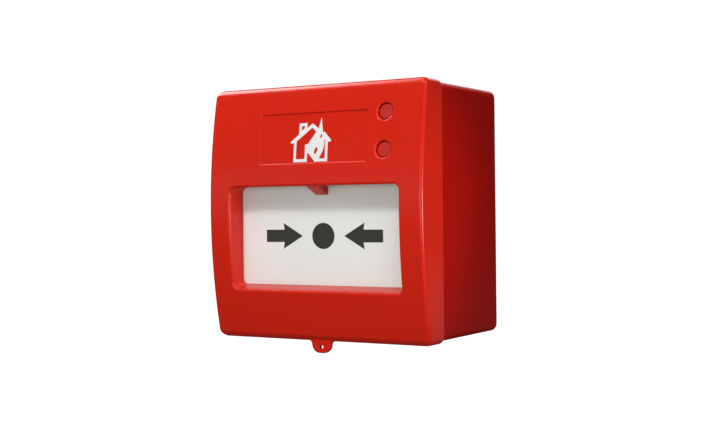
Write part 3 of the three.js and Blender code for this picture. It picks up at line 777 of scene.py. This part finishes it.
# ---------------------------------------------------------------- printed marks

# The outline of the sign, anticlockwise: the left wall, the flame's foot, the right wall, the flame's tip
# above the roof, the ridge and the chimney.
HOUSE = [
    (-8.95, 24.8), (-7.7, 24.8), (-7.7, 18.0), (-1.95, 18.0), (-1.95, 21.3), (-1.3, 20.9),
    (1.3, 18.0), (6.5, 18.0), (6.5, 24.9), (7.6, 24.9), (7.85, 25.4), (5.0, 28.4),
    (4.2, 28.4), (4.0, 29.6), (3.35, 33.5), (2.4, 29.7), (-0.25, 31.65), (-2.45, 29.95),
    (-2.45, 31.85), (-5.75, 31.85), (-5.75, 27.9), (-9.15, 25.3),
]
ROOM = [
    (-6.65, 19.05), (-3.0, 19.05), (-3.0, 24.2), (-1.75, 24.3),
    (1.15, 28.1), (1.25, 28.8), (-0.25, 30.2), (-6.65, 25.4),
]
CORNER_GAP = [(3.0, 19.05), (5.45, 19.05), (5.45, 25.8), (5.15, 26.0), (5.1, 24.0), (4.6, 21.9)]
CHIMNEY_GAP = [(-4.7, 29.1), (-3.5, 30.0), (-3.5, 30.85), (-4.7, 30.85)]
FLAME_LEAN = -18
FLAME_HOLES = [(1.6, 21.9, 0.6, 1.3), (3.6, 27.0, 0.35, 0.75)]


def oval(x, z, half_width, half_height, lean):
    """An oval outline whose upper end leans by an angle."""
    c, s = math.cos(math.radians(lean)), math.sin(math.radians(lean))
    points = []
    for _, _, u, v in circle(0, 0, 1, 20):
        across, up = half_width * u, half_height * v
        points.append((x + across * c - up * s, z + across * s + up * c))
    return smooth(points)


def burning_house():
    """The usual sign of a fire call point, printed on the floor of the cover's recess."""
    holes = [polygon(gap) for gap in (ROOM, CORNER_GAP, CHIMNEY_GAP)]
    holes += [oval(*hole, FLAME_LEAN) for hole in FLAME_HOLES]
    front = bowed(LABEL_DEPTH - SIGN_HALF_THICKNESS)
    back = bowed(LABEL_DEPTH + SIGN_HALF_THICKNESS, -1)
    skin = Skin()
    skin.slab(polygon(HOUSE), holes, front, back, curved=True)
    return skin.made("house_sign", WHITE_INK, "cover")


def plate_marks():
    """Two arrows and a dot that show where to press."""
    skin = Skin()
    front, back = flat(PLATE_LOW.y - MARK_PROUD), flat(PLATE_LOW.y + MARK_SUNK, -1)
    for hand in (-1, 1):
        upper = [
            (hand * ARROW_TAIL, ARROW_SHAFT_HALF),
            (hand * ARROW_NECK, ARROW_SHAFT_HALF),
            (hand * (ARROW_NECK + ARROW_LEAN), ARROW_HEAD_HALF),
            (hand * ARROW_TIP, 0),
        ]
        lower = [(x, -z) for x, z in reversed(upper[:-1])]
        points = [(x, z + MARK_HEIGHT) for x, z in upper + lower]
        if hand < 0:
            points.reverse()
        skin.slab(polygon(points), [], front, back)
    skin.slab(circle(0, MARK_HEIGHT, DOT_RADIUS, 48), [], front, back)
    return skin.made("plate_marks", BLACK_INK, "press_plate")


# ---------------------------------------------------------------- operating plate


def operating_plate():
    """The white plate that is pressed."""
    skin = Skin()
    left, right, bottom, top = PLATE_LOW.x, PLATE_HIGH.x, PLATE_LOW.z, PLATE_HIGH.z
    outline = rounded(left, right, bottom, top, PLATE_CORNER, corner=4, across=8, up=6)
    skin.slab(outline, [], flat(PLATE_LOW.y), flat(PLATE_HIGH.y, -1), PLATE_FRONT_EDGE, PLATE_REAR_EDGE)
    white = MATERIALS["white_plate"]
    return skin.made("plate_face", white, "press_plate", ["operating_plate"])


# ---------------------------------------------------------------- springs


def tube(skin, path, radius, sides=10):
    """A round wire along a path of points, with closed ends."""
    path = [Vector(p) for p in path]
    side = None
    rows = []
    for i, point in enumerate(path):
        run = (path[min(i + 1, len(path) - 1)] - path[max(i - 1, 0)]).normalized()
        if side is None:
            side = run.orthogonal().normalized()
        side = (side - run * side.dot(run)).normalized()
        other = run.cross(side)
        row = []
        for _, _, c, s in circle(0, 0, 1, sides):
            direction = side * c + other * s
            row.append((point + direction * radius, direction))
        rows.append(row)
    skin.strips(rows)
    for row, towards in ((rows[0], path[0] - path[1]), (rows[-1], path[-1] - path[-2])):
        middle = sum((p for p, _ in row), Vector()) / sides
        facing = towards.normalized()
        for k in range(sides):
            skin.face([(row[k][0], facing), (row[(k + 1) % sides][0], facing), (middle, facing)])


def coil_points(start, axis, radius, length, turns):
    """Points of a coil along X or Z, round a centre line that begins at its start."""
    points = []
    steps = turns * 16
    for i in range(steps + 1):
        share = i / steps
        angle = 2 * math.pi * turns * share
        u, v = radius * math.cos(angle), radius * math.sin(angle)
        step = (length * share, v, -u) if axis == "x" else (u, v, length * share)
        points.append(Vector(start) + Vector(step))
    return points


def plate_spring():
    """The plate's return spring round the pivot rod, with one leg on the carrier and one on the base."""
    half, radius = PLATE_SPRING_LENGTH / 2, PLATE_SPRING_RADIUS
    start = (-half, PIVOT_Y, PIVOT_Z)
    carrier_leg = [(-half, -47.7, 5), (-half, -47.85, 9)]
    winding = coil_points(start, "x", radius, PLATE_SPRING_LENGTH, PLATE_SPRING_TURNS)
    base_leg = [(half, -46.6, PIVOT_Z - radius + 0.15), (half, -45.1, PIVOT_Z - radius + 0.3)]
    skin = Skin()
    tube(skin, carrier_leg + winding + base_leg, PLATE_SPRING_WIRE)
    steel = MATERIALS["spring_steel"]
    skin.made("plate_spring_wire", steel, "press_plate", ["plate_spring"])


def latch_spring():
    """The coil spring above the latch, riding on the housing. The real one shortens as the latch is lifted.
    """
    low, high = box_mm("latch_spring")
    x, y, wire = LATCH_X, LATCH_SPRING_Y, LATCH_SPRING_WIRE
    height = high.z - low.z
    start = (x, y, low.z + wire)
    winding = coil_points(start, "z", LATCH_SPRING_RADIUS, height - 2 * wire, LATCH_SPRING_TURNS)
    skin = Skin()
    tube(skin, winding, wire)
    steel = MATERIALS["spring_steel"]
    piece = skin.made("latch_spring_wire", steel, "housing", ["latch_spring"])
    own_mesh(piece)


# ---------------------------------------------------------------- pieces kept from the frame

# The edge radii of the larger nodes.
BEVELS = {
    "back_box": 0.5,
    "mechanism_base": 0.25,
    "plate_carrier": 0.2,
    "indicator_flag": 0.2,
    "reset_cam": 0.2,
    "cover_latch": 0.25,
    "circuit_board": 0.1,
    "microswitch_body": 0.2,
    "terminal_block": 0.2,
}
SMALL_BEVEL = 0.08


def finish_kept_nodes():
    """Gives each node that is kept from the frame its material and rounded edges."""
    for row in frame["record"]["subparts"]:
        piece = frame["nodes"][row["node"]]
        if piece.hide_render:
            continue
        piece.data.materials.clear()
        piece.data.materials.append(MATERIALS[row["material_slot"]])
        soften(piece, BEVELS.get(row["node"], SMALL_BEVEL))


# ---------------------------------------------------------------- camera, floor and lights

# The place is in millimetres, the angles are in degrees.
CAMERA_PLACE = (233.531, -418.528, 0.284)
CAMERA_YAW = 30.98
CAMERA_PITCH = -0.16
CAMERA_ROLL = -0.60
CAMERA_LENS = 61.8717
SENSOR_WIDTH = 36


def camera():
    """A long lens to the right of the call point and level with its middle."""
    yaw, pitch, roll = (math.radians(a) for a in (CAMERA_YAW, CAMERA_PITCH, CAMERA_ROLL))
    ahead = Vector((-math.sin(yaw) * math.cos(pitch), math.cos(yaw) * math.cos(pitch), math.sin(pitch)))
    level = Vector((math.cos(yaw), math.sin(yaw), 0))
    upright = level.cross(ahead)
    right = level * math.cos(roll) + upright * math.sin(roll)
    up = upright * math.cos(roll) - level * math.sin(roll)
    data = bpy.data.cameras.new("camera")
    data.sensor_fit = "HORIZONTAL"
    data.sensor_width = SENSOR_WIDTH
    data.lens = CAMERA_LENS
    item = bpy.data.objects.new("camera", data)
    bpy.context.scene.collection.objects.link(item)
    turn = Matrix((right, up, -ahead)).transposed().to_4x4()
    item.matrix_world = Matrix.Translation(Vector(CAMERA_PLACE) * MM) @ turn
    bpy.context.scene.camera = item


# How bright the white surround is as light, in reflections and to the camera.
AMBIENT = 0.36
REFLECTED = 0.04
BACKDROP = 1.05

# Places and sizes of the lights are in metres, their power in watts and cones in degrees.
MIDDLE = (0, -0.04, 0)
SOFT_LIGHTS = {
    "key": {"place": (-0.06, -0.74, 0.78), "size": (0.14, 0.14), "power": 4.3},
    "right": {"place": (0.53, -0.49, 0.58), "size": (0.4, 0.4), "power": 2.2},
    "ceiling": {"place": (-0.2, 0.0, 0.8), "size": (0.5, 0.5), "power": 2.0},
    "rear": {"place": (-0.3, 0.9, 0.3), "size": (0.6, 0.6), "power": 2.5},
}
SPOTS = {
    "fill": {
        "place": (0.12, -1.0, 0.08),
        "aim": (0, -0.05, 0.06),
        "radius": 0.15,
        "cone": 18,
        "power": 15.0,
    },
    "side": {
        "place": (0.30, -0.085, 0.0),
        "aim": (0.0445, -0.066, 0),
        "radius": 0.008,
        "cone": 28,
        "power": 1.4,
    },
}
# Lights that only show as glints.
SHINES = {
    "top_shine": {"place": (-0.40, -0.03, 0.40), "size": (0.34, 0.34), "power": 4.0},
    "side_shine": {"place": (0.26, 0.36, -0.14), "size": (0.2, 0.2), "power": 0.03},
    "front_shine": {"place": (-0.545, -1.12, 0.10), "size": (1.2, 0.1), "power": 0.5},
}


def hung(name, data, place, aim):
    """Hangs a light at a place and turns it to face what it lights."""
    item = bpy.data.objects.new(name, data)
    bpy.context.scene.collection.objects.link(item)
    item.location = place
    item.rotation_mode = "QUATERNION"
    item.rotation_quaternion = (Vector(aim) - Vector(place)).to_track_quat("-Z", "Y")
    item.visible_camera = False
    return item


def area_light(name, place, size, power):
    data = bpy.data.lights.new(name, "AREA")
    data.shape = "RECTANGLE"
    data.size, data.size_y = size
    data.energy = power
    return hung(name, data, place, MIDDLE)


def spot_light(name, place, aim, radius, cone, power):
    data = bpy.data.lights.new(name, "SPOT")
    data.energy = power
    data.shadow_soft_size = radius
    data.spot_size = math.radians(cone)
    data.spot_blend = 1.0
    return hung(name, data, place, aim)


def surround():
    """A white world, with a strength of its own for light, reflections and the camera."""
    scene = bpy.context.scene
    scene.world = bpy.data.worlds.new("studio")
    scene.world.use_nodes = True
    nodes, links = scene.world.node_tree.nodes, scene.world.node_tree.links
    rays = nodes.new("ShaderNodeLightPath")

    def white(node, strength):
        node.inputs["Color"].default_value = (1, 1, 1, 1)
        node.inputs["Strength"].default_value = strength
        return node.outputs["Background"]

    shown = white(nodes["Background"], AMBIENT)
    for ray, strength in (("Is Glossy Ray", REFLECTED), ("Is Camera Ray", BACKDROP)):
        mix = nodes.new("ShaderNodeMixShader")
        links.new(rays.outputs[ray], mix.inputs["Fac"])
        links.new(shown, mix.inputs[1])
        links.new(white(nodes.new("ShaderNodeBackground"), strength), mix.inputs[2])
        shown = mix.outputs["Shader"]
    links.new(shown, nodes["World Output"].inputs["Surface"])


def studio():
    """Soft light from above and behind, a lamp in front and one at the right, and a white surround."""
    bpy.context.scene.view_settings.view_transform = "Standard"
    surround()
    for name, light in SOFT_LIGHTS.items():
        area_light(name, **light)
    for name, light in SPOTS.items():
        spot_light(name, **light)
    for name, light in SHINES.items():
        area_light(name, **light).visible_diffuse = False


FLOOR_HALF_WIDTH = 12.0
FLOOR_HEIGHT = -0.62


def floor():
    """A plain pale floor well below the call point, which hangs on a wall."""
    n = Nodes("floor")
    cloud = n.spread(n.noise(0.004), 0, 1)
    n.drive("Base Color", n.blend(cloud, (0.86, 0.86, 0.86), (0.9, 0.9, 0.9)))
    n.set(Roughness=0.9, Specular_IOR_Level=0.1, Emission_Color=(1, 1, 1, 1), Emission_Strength=0.8)
    half, height = FLOOR_HALF_WIDTH, FLOOR_HEIGHT
    corners = [(-half, -half, height), (half, -half, height), (half, half, height), (-half, half, height)]
    mesh = bpy.data.meshes.new("floor")
    mesh.from_pydata(corners, [], [(0, 1, 2, 3)])
    mesh.materials.append(n.material)
    item = bpy.data.objects.new("floor", mesh)
    bpy.context.scene.collection.objects.link(item)
    item.visible_diffuse = False
    item.visible_glossy = False


# ---------------------------------------------------------------- the model

camera()
front_cover()
seal_lug()
cover_details()
status_lenses()
burning_house()
operating_plate()
plate_marks()
plate_spring()
latch_spring()
finish_kept_nodes()
studio()
floor()
